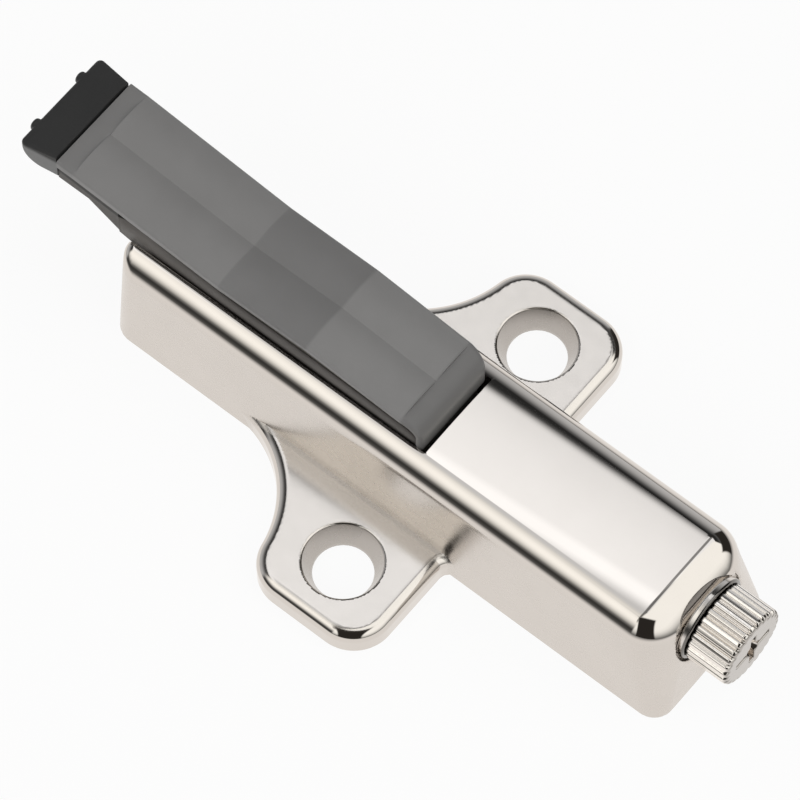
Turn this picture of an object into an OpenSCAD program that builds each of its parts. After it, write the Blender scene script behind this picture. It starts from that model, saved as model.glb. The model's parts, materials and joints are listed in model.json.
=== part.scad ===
// Lever touch latch: a plated die-cast housing with two screw ears, a sprung two-tone lever in its top slot
// and a knurled adjusting screw at the rear. Units are millimetres, +Z up, the lever nose points to -X.
// The origin is midway between the two ear holes, on the mounting plane.

/* [Housing] */
// Body width at the mounting plane
body_w = 18.54; // [17:0.1:22]
// Body height
body_h = 14; // [13.4:0.1:16]
// Distance from the hole line to the front face
body_front = 37; // [34:0.5:44]
// Distance from the hole line to the rear face at the mounting plane
body_rear = 35.6; // [34.5:0.1:42]
// Draft of the side and rear walls in degrees
draft = 5.75; // [3:0.25:8]
// Radius along the long top edges
side_r = 2.75; // [1.5:0.05:3.5]
// Radius along the rear top edge
end_r = 4.4; // [2:0.1:5]
// Radius of the upright corners
corner_r = 2.5; // [1.8:0.1:3.5]

/* [Ears] */
// Distance between the two screw holes
hole_pitch = 32; // [30:0.5:40]
// Ear thickness
ear_t = 3; // [2.4:0.1:5]
// Screw hole diameter
hole_d = 6.4; // [4:0.1:6.6]
// Countersink diameter at the top of the ear
sink_d = 8.54; // [7.4:0.02:9.5]
// Countersink depth
sink_depth = 2; // [1:0.1:2.2]
// Ear reach beyond the hole centre
ear_reach = 7.1; // [6.2:0.1:9]
// Rear edge of the ear behind the hole centre
ear_back = 8.05; // [7:0.05:10]
// Radius of the ear corners
ear_r = 4.6; // [3:0.1:6]
// Radius of the front flare that runs from the body into the ear
flare_r = 13; // [8:0.5:13]
// Radius of the rear root of the ear
root_r = 1.4; // [0.5:0.1:4]

/* [Lever] */
// Slot width in the housing top
slot_w = 10.8; // [10.6:0.1:11.4]
// Rear edge of the slot
slot_rear = 2.2; // [2:0.1:2.8]
// Gap between the lever end and the rear edge of the slot
slot_gap = 0.25; // [0.15:0.05:0.5]
// Lever cover width at the rear
cover_w_rear = 10.5; // [10:0.1:10.56]
// Lever cover width at the nose joint
cover_w_front = 12; // [11:0.1:13]
// Cover width where it starts to turn down
cover_w_back = 11.4; // [10.6:0.1:12.4]
// Cover thickness
cover_t = 1.2; // [1:0.05:2.2]
// Width of the dark core below the cover
core_w = 9.4; // [9:0.1:9.6]
// Distance from the hole line to the nose joint
joint_x = 46; // [43:0.5:52]
// Nose length
nose_l = 4.25; // [3.5:0.25:8]
// Nose width at its front
nose_w = 12.2; // [11.5:0.1:14]
// Diameter of the two pips on the nose
pip_d = 1.4; // [1:0.1:2.4]
// Distance between the pips
pip_pitch = 7.1; // [4:0.1:8]
// Height of the pips above the nose front
pip_h = 0.7; // [0.3:0.1:1.5]

/* [Hinge] */
// Hinge pin diameter
pin_d = 3; // [2.4:0.1:3.4]
// Hinge pin position along the body, in front of the hole line
pin_x = 3; // [2.8:0.1:3.6]
// Hinge pin height
pin_z = 10.5; // [10.2:0.1:10.8]
// Wall of the hinge bush
bush_t = 0.7; // [0.5:0.1:1]
// Wall of the lever eye around the bush
eye_wall = 1.7; // [1.4:0.1:1.8]
// Radial running clearance of turning fits
run_gap = 0.03; // [0.02:0.01:0.08]
// Diameter of the roller on the lever tail
roller_d = 4; // [3.2:0.1:4.4]
// Height of the roller axis
roller_z = 4.8; // [4.4:0.1:5.2]
// Roller width
roller_w = 5; // [4:0.1:5.4]

/* [Adjuster] */
// Knob diameter over the knurl
knob_d = 9.1; // [7.4:0.1:10]
// Knob length
knob_l = 5.1; // [3.5:0.1:8]
// Height of the adjuster axis
screw_z = 9.2; // [8.8:0.1:9.3]
// Number of knurl flutes
knurl_n = 24; // [14:1:30]
// Depth of the knurl flutes
knurl_depth = 0.28; // [0.1:0.02:0.4]
// Collar outside diameter
collar_d = 9.7; // [8:0.1:10.4]
// Collar thickness
collar_t = 0.9; // [0.7:0.1:1.4]
// Journal diameter in the rear wall
journal_d = 4; // [3.6:0.1:4.4]
// Thread diameter
thread_d = 3; // [2.5:0.1:3.2]
// Thread pitch
thread_p = 0.5; // [0.4:0.05:0.7]
// Distance the nut can be wound forward
nut_travel = 5; // [3:0.5:6]

/* [Main spring] */
// Spring outside diameter
spring_od = 6.8; // [6:0.1:6.9]
// Spring wire diameter
spring_wire = 0.9; // [0.6:0.05:1]
// Number of coils
spring_n = 7; // [5:1:8]

/* [Underside] */
// Base plate thickness
plate_t = 1; // [0.8:0.1:1.2]
// Rim of the housing around the base plate
plate_rim = 0.85; // [0.7:0.05:1.1]
// Gap around the base plate
plate_gap = 0.1; // [0.05:0.05:0.3]
// Base screw diameter
bscrew_d = 2; // [1.6:0.1:2.2]

/* [Hidden] */
$fn = 64;
e = 0.01;
td = tan(draft);
w0 = body_w/2;
nickel = [0.82, 0.80, 0.77];
steel = [0.62, 0.63, 0.65];
grey = [0.49, 0.48, 0.48];
dark = [0.20, 0.20, 0.21];
white = [0.90, 0.89, 0.85];

// housing section: top fillet centres that touch the drafted walls
side_c = w0 - (body_h - side_r)*td - side_r/cos(draft);
side_cz = body_h - side_r;
end_c = body_rear - (body_h - end_r)*td - end_r/cos(draft);
end_cz = body_h - end_r;

// housing interior
slot_floor = 6.5;
bay_front = -body_front + 4;
bay_rear = 31.9;
bay_w = 11.2;
bay_top = 11.8;
channel_r = spring_od/2 + 0.4;
spot_x = body_rear - 1.6;
spot_r = collar_d/2 + 0.3;
pin_near = -(w0 - pin_z*td - 1.15);
pin_far = w0 - pin_z*td - 0.1;

// ear plan: the flare arc and the front corner arc touch each other
ear_y = hole_pitch/2 + ear_reach;
root_y = w0 - ear_t*td - 0.02;
ear_in = root_y - 0.8;
corner_y = ear_y - ear_r;
ear_bx = -3.5;
flare_y = root_y + flare_r;
flare_x = ear_bx - sqrt(pow(flare_r + ear_r, 2) - pow(flare_y - corner_y, 2));

// lever side profile: stations from the nose joint to the rear end
jx = -joint_x;
top_j = 21.25;
st_a = [jx + 2, top_j - 0.05];
st_b = [-24.5, 19.4];
st_c = [-13, 19.6];
round_r = 2.95;
lev_rear = slot_rear - slot_gap;
round_cx = lev_rear - round_r;
round_cz = 15.5;
st_d = [round_cx, round_cz + round_r];
wrap_z = 13.4;
wrap_t = 2.2;
lift = [0, -cover_t];
nose_x = jx - nose_l;
nose_drop = 0.85;
nose_depth = 3.35;
nose_heel = 4.25;
nose_z = top_j - nose_drop;
nose_low = top_j - nose_depth;
nose_back = top_j - nose_heel;
nose_r = 2;
pip_drop = 1.1;
nose_edge = [0.5, 0.4];
nose_inset = 0.25;
tongue_l = 3;
tongue_w = 6;
tongue_hi = top_j - cover_t - 0.8;
tongue_lo = tongue_hi - 1.6;

// underside of the dark core, from the nose joint to the hinge
web_depth = 6.35;
web = [[jx, top_j - web_depth], [-43.5, 15.2], [-41.15, 14], [-37.85, 12.4], [-33, 11.6]];
belly = [[-30, 8.2], [-14, 7.3], [-10, 7.3]];
skirt_x = -body_front - 1;
skirt_w = cover_w_front - 0.8;
skirt_top = st_a[1] + (st_b[1] - st_a[1])*(skirt_x - st_a[0])/(st_b[0] - st_a[0]);
pocket_y = 3.2;
pocket_floor = 5;
front_roof = 16;
rear_roof = 15;
cam_roof = 14.8;

// hinge and tail
px = -pin_x;
bush_r = pin_d/2 + run_gap + bush_t;
eye_r = bush_r + eye_wall;
plunger_x = 2.65;
roller_x = plunger_x - roller_d/2 - 0.02;
rpin_d = 1.6;
tail_r = rpin_d;
tail_root = 2.6;
fork_in = roller_w/2 + 0.15;
fork_out = core_w/2 - 0.1;

// plunger, spring, nut and screw
plunger_l = 6.35;
bay_gap = 0.12;
spring_x0 = plunger_x + plunger_l;
spring_x1 = 24;
nut_l = 5;
nut_x = spring_x1;
spigot_r = spring_od/2 - spring_wire - 0.15;
spigot_l = 1.6;
screw_tip = 12;
clip_t = 0.6;
washer_t = 0.5;
groove_x = bay_rear - washer_t - clip_t;
groove_r = thread_d/2 - 0.35;
knob_x = spot_x + collar_t + 0.05;
knob_end = knob_x + knob_l;
recess_w = 0.8;
recess_l = 5.4;
recess_depth = 1.8;

// cam track and its wire
cam_x = -23;
cam_x0 = -28.5;
cam_x1 = -17.5;
cam_z0 = 8.6;
cam_z1 = 14.2;
cam_gap = 1.2;
cam_y = -(slot_w/2 - cam_gap);
cam_t = 1;
track_depth = 0.7;
wire_d = 0.8;
wire_gap = 0.55;
wire_z0 = 4;
wire_z1 = 9.6;
wire_y = -(slot_w/2 - wire_gap);
wire_hole = 0.9;
leaf_l = 6;
leaf_t = 0.25;
leaf_z0 = 5;
leaf_z1 = 9;
leaf_gap = 0.1;
leaf_y = -slot_w/2 - 0.5;

// underside
plate_x0 = -body_front + plate_rim + 0.4;
plate_x1 = body_rear - plate_rim - 0.1;
plate_y = w0 - plate_rim;
plate_r = corner_r - plate_rim;
bs_y = 7.2;
bs_x0 = bay_front + 3.5;
bs_x1 = 28;
bs_l = 5.5;
bs_head = bscrew_d + 1.4;
bs_sink = 0.7;
bs_cross_l = 1.4;
bs_cross_w = 0.3;
bs_cross_depth = 0.5;

// Straight prism along Y from a side outline given in x and z
module along_y(w) {
  translate([0, w/2, 0]) rotate([90, 0, 0]) linear_extrude(w) children();
}

// Straight prism along X from a cross-section given in y and z
module along_x(x0, x1) {
  translate([x0, 0, 0]) rotate([90, 0, 90]) linear_extrude(x1 - x0) children();
}

// Cylinder along Y between two positions
module rod_y(r, y0, y1) {
  translate([0, y1, 0]) rotate([90, 0, 0]) cylinder(r = r, h = y1 - y0);
}

// Cylinder along X between two positions
module rod_x(r, x0, x1) {
  translate([x0, 0, 0]) rotate([0, 90, 0]) cylinder(r = r, h = x1 - x0);
}

// Box from its two corners
module span(x0, x1, y0, y1, z0, z1) {
  translate([x0, y0, z0]) cube([x1 - x0, y1 - y0, z1 - z0]);
}

// Housing cross-section with drafted sides and rounded top edges
module body_section() {
  yt = side_c + side_r*cos(draft);
  zt = side_cz + side_r*sin(draft);
  polygon([[-w0, 0], [w0, 0], [yt, zt], [side_c, body_h], [-side_c, body_h], [-yt, zt]]);
  translate([side_c, side_cz]) circle(r = side_r);
  translate([-side_c, side_cz]) circle(r = side_r);
}

// Housing side outline: upright front face, drafted rear face with its large top radius
module body_outline() {
  xt = end_c + end_r*cos(draft);
  zt = end_cz + end_r*sin(draft);
  polygon([[-body_front, 0], [body_rear, 0], [xt, zt], [end_c, body_h], [-body_front, body_h]]);
  translate([end_c, end_cz]) circle(r = end_r);
}

// Upright corner of the rear end: a cone that touches both drafted walls
module rear_corner() {
  translate([body_rear - corner_r, w0 - corner_r, 0])
    cylinder(r1 = corner_r, r2 = corner_r - body_h*td, h = body_h);
}

// Upright corner of the front end: a cylinder leaning with the side wall
module front_corner() {
  translate([-body_front + corner_r, w0 - corner_r/cos(draft), 0]) rotate([draft, 0, 0])
    translate([0, 0, -2]) cylinder(r = corner_r, h = body_h + 4);
}

module body_shell() {
  intersection() {
    along_x(-body_front - 1, body_rear + 1) body_section();
    along_y(body_w + 2) body_outline();
    union() {
      span(-body_front, body_rear, corner_r - w0, w0 - corner_r, 0, body_h);
      span(-body_front + corner_r, body_rear - corner_r, -w0, w0, 0, body_h);
      rear_corner();
      mirror([0, 1, 0]) rear_corner();
      front_corner();
      mirror([0, 1, 0]) front_corner();
    }
  }
}

// Plan of one ear: flared front edge, two round corners, small rear root
module ear_plan() {
  difference() {
    polygon([[flare_x, ear_in], [flare_x, flare_y], [ear_bx, corner_y], [ear_bx, ear_in]]);
    translate([flare_x, flare_y]) circle(r = flare_r, $fn = 128);
  }
  translate([ear_bx, corner_y]) circle(r = ear_r);
  translate([ear_back - ear_r, corner_y]) circle(r = ear_r);
  translate([ear_bx, ear_in]) square([ear_back - ear_r - ear_bx, ear_y - ear_in]);
  translate([ear_bx, ear_in]) square([ear_back - ear_bx, corner_y - ear_in]);
  difference() {
    translate([ear_back - e, ear_in]) square([root_r + e, root_y + root_r - ear_in]);
    translate([ear_back + root_r, root_y + root_r]) circle(r = root_r);
  }
}

module ear_hole() {
  translate([0, hole_pitch/2, -1]) cylinder(d = hole_d, h = ear_t + 2);
  translate([0, hole_pitch/2, ear_t - sink_depth]) cylinder(d1 = hole_d, d2 = sink_d, h = sink_depth);
  translate([0, hole_pitch/2, ear_t - e]) cylinder(d = sink_d, h = 1);
}

// Plan of the base plate, or with a negative inset the recess it lies in
module plate_plan(inset) {
  r = plate_r - inset;
  x0 = plate_x0 + inset;
  x1 = plate_x1 - inset;
  y = plate_y - inset;
  translate([x0, r - y]) square([x1 - x0, 2*(y - r)]);
  translate([x0 + r, -y]) square([x1 - x0 - 2*r, 2*y]);
  for (sx = [x0 + r, x1 - r], sy = [r - y, y - r])
    translate([sx, sy]) circle(r = r);
}

module at_base_screws() {
  for (x = [bs_x0, bs_x1], y = [-bs_y, bs_y])
    translate([x, y, 0]) children();
}

module housing() {
  color(nickel) difference() {
    union() {
      body_shell();
      linear_extrude(ear_t) ear_plan();
      mirror([0, 1, 0]) linear_extrude(ear_t) ear_plan();
    }
    ear_hole();
    mirror([0, 1, 0]) ear_hole();
    // lever slot, open at the front
    span(-body_front - 5, slot_rear, -slot_w/2, slot_w/2, slot_floor, body_h + 5);
    span(bay_front, slot_rear, -slot_w/2, slot_w/2, -1, body_h);
    // spring bay behind the slot
    span(slot_rear - 1, bay_rear, -bay_w/2, bay_w/2, -1, bay_top);
    translate([0, 0, screw_z]) rod_x(channel_r, slot_rear - 1, bay_rear);
    // adjuster journal and the flat seat of its collar
    translate([0, 0, screw_z]) rod_x(journal_d/2 + run_gap, bay_rear - 1, body_rear + 5);
    translate([0, 0, screw_z]) rod_x(spot_r, spot_x, body_rear + 5);
    // hinge pin bore: blind on the near side, through on the far side
    translate([px, 0, pin_z]) rod_y(pin_d/2, pin_near, w0 + 1);
    // cam wire pivot and the pocket of its leaf spring
    translate([cam_x, 0, wire_z0]) rod_y(wire_hole/2, -slot_w/2 - 2, 0);
    span(cam_x - leaf_l/2 - leaf_gap, cam_x + leaf_l/2 + leaf_gap, leaf_y, 0, leaf_z0 - leaf_gap,
      leaf_z1 + leaf_gap);
    // base plate recess and screw pilots
    translate([0, 0, -1]) linear_extrude(plate_t + 1) plate_plan(-plate_gap);
    at_base_screws() cylinder(d = bscrew_d, h = bs_l + 0.5);
  }
}

module base_plate() {
  color(steel) difference() {
    linear_extrude(plate_t) plate_plan(0);
    at_base_screws() {
      translate([0, 0, -1]) cylinder(d = bscrew_d + 0.3, h = plate_t + 2);
      translate([0, 0, -e]) cylinder(d1 = bs_head, d2 = bscrew_d + 0.3, h = bs_sink);
    }
  }
}

module base_screws() {
  color(steel) at_base_screws() difference() {
    union() {
      cylinder(d1 = bs_head - 0.1, d2 = bscrew_d, h = bs_sink);
      cylinder(d = bscrew_d, h = bs_l);
    }
    for (a = [0, 90])
      rotate(a) span(-bs_cross_l/2, bs_cross_l/2, -bs_cross_w/2, bs_cross_w/2, -1, bs_cross_depth);
  }
}

module hinge_pin() {
  color(steel) translate([px, 0, pin_z]) rod_y(pin_d/2, pin_near, pin_far);
}

module hinge_bush() {
  color(white) translate([px, 0, pin_z]) difference() {
    rod_y(bush_r, -core_w/2, core_w/2);
    rod_y(pin_d/2 + run_gap, -core_w, core_w);
  }
}

// Lever plan between the joint and the rear end: slight taper toward the rear
module cover_plan() {
  turn_x = lev_rear - wrap_t;
  polygon([[jx, -cover_w_front/2], [st_d[0] - 0.5, -cover_w_back/2], [turn_x + 1, -cover_w_rear/2],
    [lev_rear, -cover_w_rear/2], [lev_rear, cover_w_rear/2], [turn_x + 1, cover_w_rear/2],
    [st_d[0] - 0.5, cover_w_back/2], [jx, cover_w_front/2]]);
}

module cover_side() {
  difference() {
    polygon([[jx, top_j], st_a, st_b, st_c, st_d, [lev_rear, st_d[1]], [lev_rear, wrap_z],
      [lev_rear - wrap_t, wrap_z], [lev_rear - wrap_t, st_d[1] - cover_t], st_c + lift, st_b + lift,
      st_a + lift, [jx, top_j - cover_t]]);
    difference() {
      translate([round_cx, round_cz]) square(round_r + 1);
      translate([round_cx, round_cz]) circle(r = round_r);
    }
  }
}

module lever_cover() {
  color(grey) intersection() {
    linear_extrude(top_j + 1) cover_plan();
    along_y(cover_w_front + 2) cover_side();
  }
}

// Core side outline: it deepens from the nose toward the hinge and ends in the tail
module core_side() {
  polygon([[jx, top_j - cover_t], st_a + lift, st_b + lift, st_c + lift,
    [lev_rear - wrap_t, st_d[1] - cover_t], [lev_rear - wrap_t, pin_z], [px + eye_r - 0.9, pin_z - 2],
    [px - eye_r + 0.93, pin_z - eye_r + 0.07], belly[2], belly[1], belly[0], web[4], web[3], web[2], web[1],
    web[0]]);
  translate([px, pin_z]) circle(r = eye_r);
}

// Wider skirt of the core ahead of the housing, level with the nose
module skirt_side() {
  polygon([[jx, top_j - cover_t], st_a + lift, [skirt_x, skirt_top - cover_t], [skirt_x, nose_back - 2.1],
    [(jx + skirt_x)/2, nose_back], [jx, nose_back]]);
}

// Tail below the hinge: a fork that carries the roller
module tail_side() {
  polygon([[px - tail_root, pin_z - 1], [px + tail_root, pin_z - 1],
    [roller_x + tail_r - 0.05, roller_z + 0.4], [roller_x - tail_r + 0.1, roller_z - 0.5]]);
  translate([roller_x, roller_z]) circle(r = tail_r);
}

module lever_core() {
  color(dark) difference() {
    union() {
      along_y(core_w) core_side();
      along_y(skirt_w) skirt_side();
      along_y(2*fork_out) tail_side();
    }
    // room for the turned-down end of the cover
    span(lev_rear - wrap_t, lev_rear + 2, -core_w, core_w, wrap_z, body_h + 8);
    // bush seat
    translate([px, 0, pin_z]) rod_y(bush_r, -core_w, core_w);
    // roller slot and pin bore
    translate([roller_x, 0, roller_z]) rod_y(roller_d/2 + 0.5, -fork_in, fork_in);
    translate([roller_x, 0, roller_z]) rod_y(rpin_d/2, -core_w, core_w);
    // nose tongue pocket
    span(jx - 1, jx + tongue_l, -tongue_w/2, tongue_w/2, tongue_lo, tongue_hi);
    // moulded-in lightening pockets, open below
    span(web[2][0] - 0.35, web[4][0] - 0.5, -pocket_y, pocket_y, pocket_floor, front_roof);
    span(cam_x1 + 2, belly[2][0] + 0.5, -pocket_y, pocket_y, pocket_floor, rear_roof);
    span(cam_x0 - 2.5, cam_x1 + 0.7, cam_y + cam_t + 1.8, pocket_y, pocket_floor, cam_roof);
    // near-side relief for the cam wire and the seat of the cam plate
    span(cam_x0 - 3, cam_x1 + 2, -core_w, cam_y, pocket_floor, cam_z1 + 0.4);
    span(cam_x0, cam_x1, cam_y - 1, cam_y + cam_t, cam_z0, cam_z1);
  }
}

module nose_side() {
  polygon([[jx, top_j], [nose_x + nose_edge[0], nose_z + 0.1], [nose_x, nose_z - nose_edge[1]],
    [nose_x, nose_low + nose_r],
    [nose_x + nose_r, nose_low + nose_r], [nose_x + nose_r, nose_low], [jx, nose_back]]);
  intersection() {
    translate([nose_x + nose_r, nose_low + nose_r]) circle(r = nose_r);
    translate([nose_x - 1, nose_low - 1]) square([nose_r + 1, nose_r + 1]);
  }
}

module nose_plan() {
  y = cover_w_front/2 - nose_inset;
  polygon([[nose_x - 1, -nose_w/2], [jx, -y], [jx, y], [nose_x - 1, nose_w/2]]);
}

module nose() {
  color(dark) {
    intersection() {
      linear_extrude(top_j + 1) nose_plan();
      along_y(nose_w + 2) nose_side();
    }
    for (s = [-1, 1])
      translate([0, s*pip_pitch/2, nose_z - pip_drop]) rod_x(pip_d/2, nose_x - pip_h, nose_x + 1);
    // tongue that plugs into the core
    span(jx - 0.3, jx + tongue_l, -tongue_w/2, tongue_w/2, tongue_lo, tongue_hi);
  }
}

module roller_pin() {
  color(steel) translate([roller_x, 0, roller_z]) rod_y(rpin_d/2, -fork_out, fork_out);
}

module tail_roller() {
  color(white) translate([roller_x, 0, roller_z]) difference() {
    rod_y(roller_d/2, -roller_w/2, roller_w/2);
    rod_y(rpin_d/2 + run_gap, -roller_w, roller_w);
  }
}

// Cam plate: a heart-shaped track sunk into its near face
module cam_plate() {
  color(white) difference() {
    span(cam_x0, cam_x1, cam_y, cam_y + cam_t, cam_z0, cam_z1);
    difference() {
      span(cam_x - 2.2, cam_x + 2.4, cam_y - 1, cam_y + track_depth, wire_z1 - 0.7, wire_z1 + 3.4);
      translate([cam_x, cam_y + track_depth/2, wire_z1]) along_y(track_depth + 2)
        polygon([[-0.55, 0.75], [0.15, 1.75], [0.25, 2.35], [-0.45, 1.95], [-1.2, 2.35], [-1.25, 1.5]]);
    }
  }
}

// Cam wire: pivot leg in the wall, upright arm, tip in the track
module cam_wire() {
  color(steel) {
    translate([cam_x, 0, wire_z0]) rod_y(wire_d/2, -slot_w/2 - 1.9, wire_y);
    translate([cam_x, wire_y, wire_z0]) sphere(d = wire_d);
    translate([cam_x, wire_y, wire_z0]) cylinder(d = wire_d, h = wire_z1 - wire_z0);
    translate([cam_x, wire_y, wire_z1]) sphere(d = wire_d);
    translate([cam_x, 0, wire_z1]) rod_y(wire_d/2, wire_y, cam_y + track_depth - 0.15);
  }
}

// Leaf spring that keeps the wire in the track
module wire_spring() {
  color(steel) {
    span(cam_x - leaf_l/2, cam_x + leaf_l/2, leaf_y, leaf_y + leaf_t, leaf_z0, leaf_z1);
    translate([cam_x, leaf_y + leaf_t - e, (leaf_z0 + leaf_z1)/2]) rotate([-90, 0, 0])
      cylinder(r1 = 0.8, r2 = 0.4, h = 0.3);
  }
}

module stop_buffer() {
  color(dark) span(-body_front + 0.9, bay_front - 0.4, -3.6, 3.6, slot_floor, slot_floor + 1.4);
}

// Sliding block that passes the spring force to the roller
module plunger() {
  color(white) difference() {
    union() {
      span(plunger_x, spring_x0, bay_gap - bay_w/2, bay_w/2 - bay_gap, plate_t + bay_gap, bay_top - bay_gap);
      translate([0, 0, screw_z]) rod_x(spigot_r, spring_x0 - e, spring_x0 + spigot_l);
    }
    translate([0, 0, screw_z]) rod_x(thread_d/2 + 0.3, plunger_x + 2.5, spring_x0 + 5);
    for (s = [-1, 1])
      translate([0, s*3.6, 0]) span(plunger_x + 1.6, spring_x0 + 1, -1, 1, 2.6, 5.4);
  }
}

// Coil spring: a stack of rings with ground end coils
module main_spring() {
  r = (spring_od - spring_wire)/2;
  pitch = (spring_x1 - spring_x0 - spring_wire)/(spring_n - 1);
  color(steel) translate([spring_x0 + spring_wire/2, 0, screw_z]) rotate([0, 90, 0]) {
    for (i = [0:spring_n - 1])
      translate([0, 0, i*pitch]) rotate_extrude() translate([r, 0]) circle(d = spring_wire, $fn = 24);
    for (i = [0:spring_n - 2])
      rotate(i*180) translate([r, 0, i*pitch]) cylinder(d = spring_wire*0.8, h = pitch, $fn = 24);
  }
}

// Nut block: it cannot turn in the bay and carries the rear end of the spring
module adjuster_nut() {
  color(steel) difference() {
    union() {
      span(nut_x, nut_x + nut_l, bay_gap - bay_w/2, bay_w/2 - bay_gap, plate_t + bay_gap, bay_top - bay_gap);
      translate([0, 0, screw_z]) rod_x(spigot_r, nut_x - spigot_l, nut_x + e);
    }
    translate([0, 0, screw_z]) rod_x(thread_d/2 + run_gap, nut_x - 5, nut_x + nut_l + 1);
  }
}

// Knurled knob with a cross recess, journal, clip groove and thread in one turned piece
module adjuster_screw() {
  color(nickel) translate([0, 0, screw_z]) difference() {
    union() {
      rod_x(knob_d/2, knob_x, knob_end - 0.45);
      translate([knob_end - 0.45, 0, 0]) rotate([0, 90, 0])
        cylinder(r1 = knob_d/2, r2 = knob_d/2 - 0.45, h = 0.45);
      rod_x(journal_d/2, bay_rear - washer_t, knob_x + e);
      rod_x(thread_d/2, screw_tip, bay_rear - washer_t + e);
      for (x = [screw_tip + thread_p : thread_p : groove_x - 0.6])
        translate([x, 0, 0]) rotate([0, 90, 0]) cylinder(r = thread_d/2 + 0.01, h = thread_p/2);
    }
    for (i = [0:knurl_n - 1])
      rotate([i*360/knurl_n, 0, 0]) translate([0, 0, knob_d/2 + knurl_depth])
        rod_x(2*knurl_depth, knob_x - 1, knob_end + 1);
    difference() {
      rod_x(thread_d, groove_x, groove_x + clip_t);
      rod_x(groove_r, groove_x - 1, groove_x + clip_t + 1);
    }
    for (a = [0, 90])
      rotate([a, 0, 0]) span(knob_end - recess_depth, knob_end + 1, -recess_l/2, recess_l/2,
        -recess_w/2, recess_w/2);
    translate([knob_end - recess_depth - 0.3, 0, 0]) rotate([0, 90, 0])
      cylinder(r1 = 0.4, r2 = 1.35, h = recess_depth + 0.3 + e);
  }
}

module collar() {
  color(nickel) translate([0, 0, screw_z]) difference() {
    rod_x(collar_d/2, spot_x, spot_x + collar_t);
    rod_x(journal_d/2 + 0.3, spot_x - 1, spot_x + collar_t + 1);
  }
}

module thrust_washer() {
  color(white) translate([0, 0, screw_z]) difference() {
    rod_x(journal_d/2 + 1.2, bay_rear - washer_t, bay_rear);
    rod_x(journal_d/2 + 0.3, bay_rear - 2, bay_rear + 1);
  }
}

// Open retaining ring in the groove of the screw
module retaining_clip() {
  color(steel) translate([groove_x, 0, screw_z]) difference() {
    rod_x(journal_d/2 + 0.9, 0, clip_t);
    rod_x(groove_r, -1, 2);
    span(-1, 2, -groove_r*0.8, groove_r*0.8, -6, 0);
  }
}

housing();
base_plate();
base_screws();
hinge_pin();
hinge_bush();
lever_core();
lever_cover();
nose();
roller_pin();
tail_roller();
cam_plate();
cam_wire();
wire_spring();
stop_buffer();
plunger();
main_spring();
adjuster_nut();
adjuster_screw();
collar();
thrust_washer();
retaining_clip();
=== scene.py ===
import json
import math

import bpy
import numpy as np
from mathutils import Matrix, Vector


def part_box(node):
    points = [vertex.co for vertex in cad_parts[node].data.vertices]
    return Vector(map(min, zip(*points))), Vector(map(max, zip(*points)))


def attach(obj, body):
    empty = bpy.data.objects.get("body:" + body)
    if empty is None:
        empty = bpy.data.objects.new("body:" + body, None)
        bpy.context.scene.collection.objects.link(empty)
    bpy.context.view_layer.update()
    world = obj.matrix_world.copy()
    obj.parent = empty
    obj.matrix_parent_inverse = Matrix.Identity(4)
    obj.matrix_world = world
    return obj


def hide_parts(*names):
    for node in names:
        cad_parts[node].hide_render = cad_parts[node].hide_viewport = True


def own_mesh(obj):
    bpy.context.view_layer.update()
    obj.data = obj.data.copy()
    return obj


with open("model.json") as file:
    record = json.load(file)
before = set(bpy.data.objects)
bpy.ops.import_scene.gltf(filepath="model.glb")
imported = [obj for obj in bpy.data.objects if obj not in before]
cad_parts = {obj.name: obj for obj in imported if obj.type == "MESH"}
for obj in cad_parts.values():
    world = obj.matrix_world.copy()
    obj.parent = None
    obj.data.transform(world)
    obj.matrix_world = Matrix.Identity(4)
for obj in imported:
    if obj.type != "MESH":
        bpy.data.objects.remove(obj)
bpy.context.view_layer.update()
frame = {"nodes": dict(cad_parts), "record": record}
nodes = frame["nodes"]

# Shapes are worked out in millimetres and written to Blender in metres
MM = 0.001


def span_mm(node):
    """Lowest and highest corner of a CAD node, in millimetres."""
    low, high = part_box(node)
    return np.array(low) / MM, np.array(high) / MM


# Housing, from its CAD box and the radii that the photograph shows
HOUSING_LOW, HOUSING_HIGH = span_mm("housing")
FRONT, REAR = HOUSING_LOW[0], HOUSING_HIGH[0]
HEIGHT = HOUSING_HIGH[2]
HALF_WIDTH = 9.27
DRAFT = math.tan(math.radians(5.75))
CROWN_R = 90.0
SIDE_R = 2.75
END_R = 4.4
FRONT_R = 1.0
FRONT_CORNER = 2.6
REAR_CORNER = 2.2
REAR_CORNER_SHARE = 1.1
SEAT_EDGE_R = 0.25
HOLE_EDGE_R = 0.15

# Ears
EAR_T = 3.0
EAR_END = HOUSING_HIGH[1]
EAR_BACK = 8.05
EAR_FRONT = -3.5
EAR_R = 4.6
EAR_EDGE_R = 1.25
FLARE_R = 13.0
FLARE_ROOT = HALF_WIDTH - 0.32
ROOT_R = 1.4
HOLE_Y = 16.0
HOLE_R, SINK_R = 3.2, 4.27
HOLE_LAND = 0.4
HOLE_ZONE, HOLE_STEP = 4.9, 0.15

# Slot and hollows of the housing
SLOT_HALF = 5.4
SLOT_REAR = 2.2
SLOT_FLOOR = 6.5
SLOT_CORNER = 0.4
BAY_FRONT = FRONT + 4.0
BAY_REAR = 31.9
BAY_HALF = 5.6
BAY_TOP = 11.8
CHANNEL_R = 3.8
PIN_X, PIN_Z, PIN_R = -3.0, 10.5, 1.5
PIN_NEAR = span_mm("hinge_pin")[0][1]
LEAF_LOW, LEAF_HIGH = span_mm("wire_spring")
PLATE_LOW, PLATE_HIGH = span_mm("base_plate")
PLATE_CORNER = 1.7
POCKET_GAP, SEAT_GAP, RUN_GAP = 0.1, 0.3, 0.03

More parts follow.
